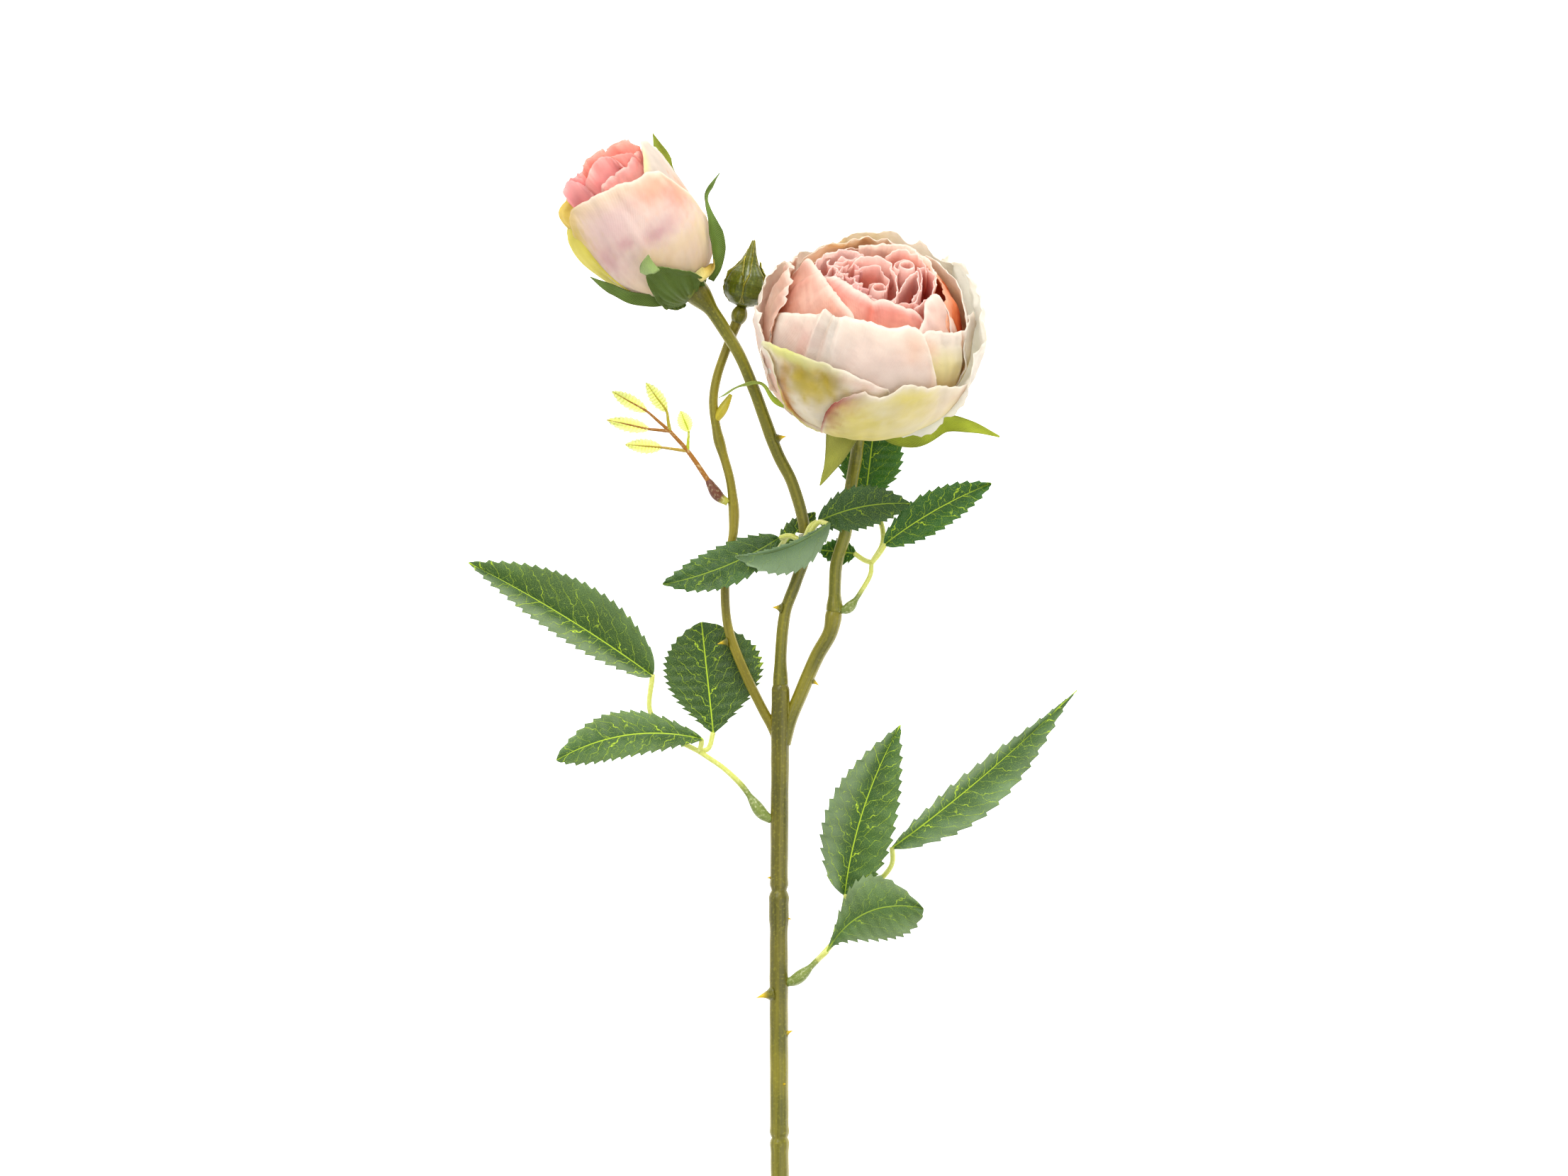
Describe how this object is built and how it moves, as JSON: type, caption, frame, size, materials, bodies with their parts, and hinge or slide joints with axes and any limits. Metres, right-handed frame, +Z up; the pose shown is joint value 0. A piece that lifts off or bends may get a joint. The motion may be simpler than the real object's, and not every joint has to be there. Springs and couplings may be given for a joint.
{
  "type": "artificial rose spray",
  "caption": "Artificial cut rose spray lying down: thorned green stem with a full pink bloom, a half-open bloom, a closed bud and toothed green leaves.",
  "frame": {"origin": "middle of the underside of the spray as it lies on a surface, at the surface", "axes": "+Y along the main stem from its cut end to the flowers, +X to the right with the flowers away from the reader, +Z up from the surface"},
  "size_m": [0.2028, 0.5002, 0.0692],
  "materials": {
    "stem_plastic": "moulded olive green plastic with fine lengthwise ridges",
    "bud_plastic": "glossy dark olive moulded plastic with yellow edges",
    "stalk_plastic": "pale yellow-green soft plastic",
    "clear_plastic": "clear, faintly green plastic",
    "sprig_plastic": "yellow-green moulded plastic with orange-brown stalks and midribs",
    "leaf_fabric": "printed dark green woven fabric with yellow-green veins",
    "sepal_fabric": "yellow-green to green woven fabric",
    "pale_petal_fabric": "cream to pale pink satin-weave fabric, yellow-green towards the foot",
    "pink_petal_fabric": "salmon pink satin-weave fabric"
  },
  "bodies": {
    "root": {"bud_branch": "stem_plastic", "clear_collar": "clear_plastic", "closed_bud": "bud_plastic", "full_bloom_calyx": "sepal_fabric", "full_bloom_heart_petal_1": "pink_petal_fabric", "full_bloom_heart_petal_2": "pink_petal_fabric", "full_bloom_heart_petal_3": "pink_petal_fabric", "full_bloom_inner_petal_1": "pink_petal_fabric", "full_bloom_inner_petal_2": "pink_petal_fabric", "full_bloom_inner_petal_3": "pink_petal_fabric", "full_bloom_outer_petal_1": "pale_petal_fabric", "full_bloom_outer_petal_2": "pale_petal_fabric", "full_bloom_outer_petal_3": "pale_petal_fabric", "full_bloom_outer_petal_4": "pale_petal_fabric", "full_bloom_outer_petal_5": "pale_petal_fabric", "full_bloom_second_petal_1": "pale_petal_fabric", "full_bloom_second_petal_2": "pale_petal_fabric", "full_bloom_second_petal_3": "pale_petal_fabric", "full_bloom_second_petal_4": "pale_petal_fabric", "full_bloom_second_petal_5": "pale_petal_fabric", "full_bloom_third_petal_1": "pale_petal_fabric", "full_bloom_third_petal_2": "pale_petal_fabric", "full_bloom_third_petal_3": "pale_petal_fabric", "full_bloom_third_petal_4": "pale_petal_fabric", "full_bloom_third_petal_5": "pale_petal_fabric", "half_bloom_calyx": "sepal_fabric", "half_bloom_heart_petal_1": "pink_petal_fabric", "half_bloom_heart_petal_2": "pink_petal_fabric", "half_bloom_heart_petal_3": "pink_petal_fabric", "half_bloom_inner_petal_1": "pink_petal_fabric", "half_bloom_inner_petal_2": "pink_petal_fabric", "half_bloom_inner_petal_3": "pink_petal_fabric", "half_bloom_outer_petal_1": "pale_petal_fabric", "half_bloom_outer_petal_2": "pale_petal_fabric", "half_bloom_outer_petal_3": "pale_petal_fabric", "half_bloom_outer_petal_4": "pale_petal_fabric", "left_leaf_1": "leaf_fabric", "left_leaf_2": "leaf_fabric", "left_leaf_3": "leaf_fabric", "left_leaf_stalk": "stalk_plastic", "main_stem": "stem_plastic", "middle_branch": "stem_plastic", "middle_leaf_1": "leaf_fabric", "middle_leaf_2": "leaf_fabric", "middle_leaf_3": "leaf_fabric", "middle_leaf_4": "leaf_fabric", "middle_leaf_stalk": "stalk_plastic", "right_branch_lower": "stem_plastic", "right_branch_upper": "stem_plastic", "right_leaf_1": "leaf_fabric", "right_leaf_2": "leaf_fabric", "right_leaf_3": "leaf_fabric", "right_leaf_stalk": "stalk_plastic", "upper_leaf_1": "leaf_fabric", "upper_leaf_2": "leaf_fabric", "upper_leaf_3": "leaf_fabric", "upper_leaf_stalk": "stalk_plastic", "young_sprig": "sprig_plastic"}
  },
  "joints": []
}
